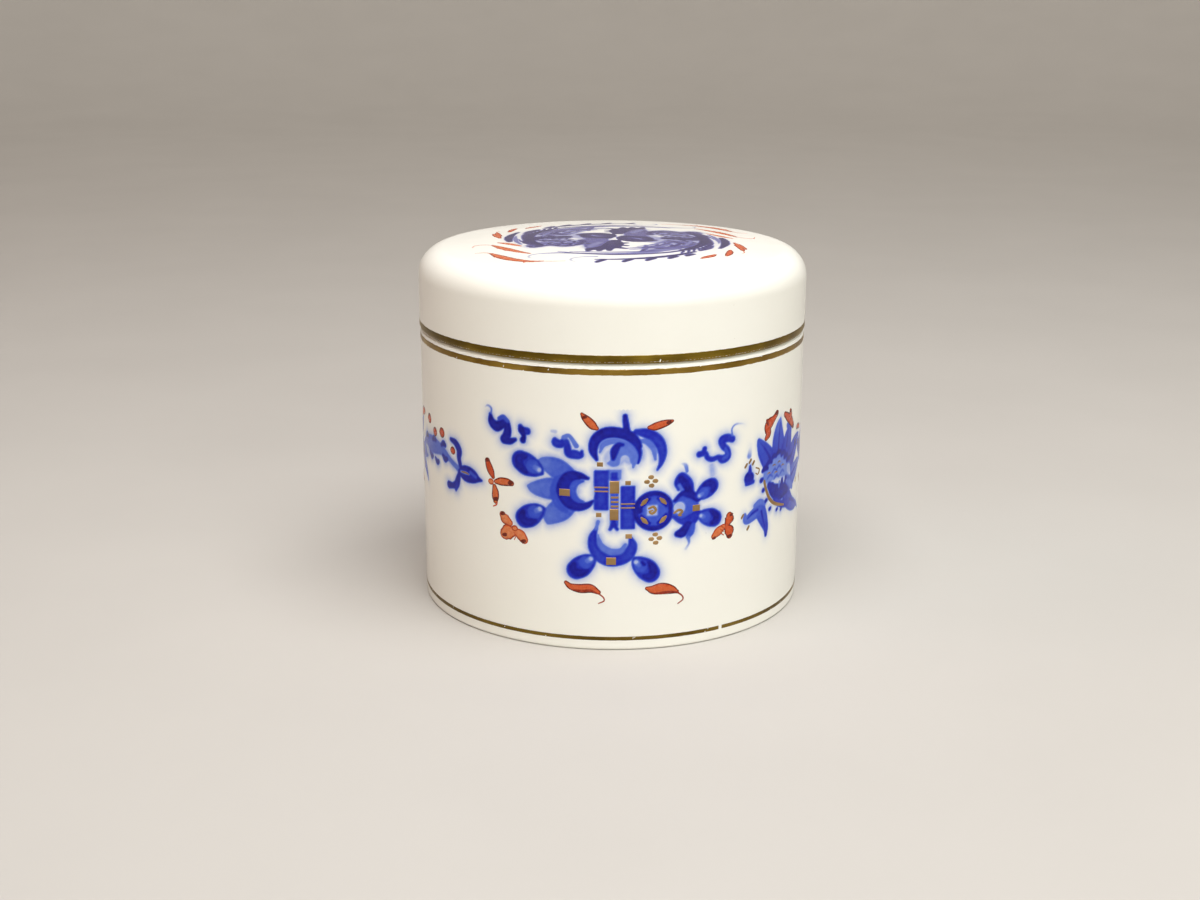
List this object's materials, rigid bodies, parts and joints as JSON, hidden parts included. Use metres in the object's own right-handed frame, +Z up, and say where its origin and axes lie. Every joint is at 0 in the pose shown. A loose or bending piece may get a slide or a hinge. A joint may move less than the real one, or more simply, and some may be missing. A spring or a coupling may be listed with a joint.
{
  "type": "porcelain trinket box",
  "caption": "Round straight-sided porcelain trinket box with a gently domed lift-off lid that fits over a raised neck, with gilt edge bands and painted blue and red ornament.",
  "frame": {"origin": "centre of the ring that the cup stands on, at the plane of the table", "axes": "+Z up along the turned axis; -Y towards the front, where the main painted emblem is; +X to the right as seen from the front"},
  "size_m": [0.0764, 0.0764, 0.0716],
  "materials": {
    "glazed_porcelain": "clear glossy glaze over warm white porcelain",
    "bare_biscuit": "unglazed fired porcelain, matt, on the foot ring and the lid's seat",
    "burnished_gilding": "fired liquid gold, soft lustre, a little worn",
    "cobalt_underglaze": "cobalt blue painted under the clear glaze, glossy",
    "iron_red_enamel": "iron red enamel fired over the glaze, slightly raised, glossy"
  },
  "bodies": {
    "cup": {"cup": "glazed_porcelain"},
    "lid": {"lid": "glazed_porcelain"}
  },
  "joints": [
    {"name": "lid_lift", "type": "slide", "parent": "cup", "child": "lid", "axis": [0, 0, 1], "range_m": [0, 0.08]}
  ]
}
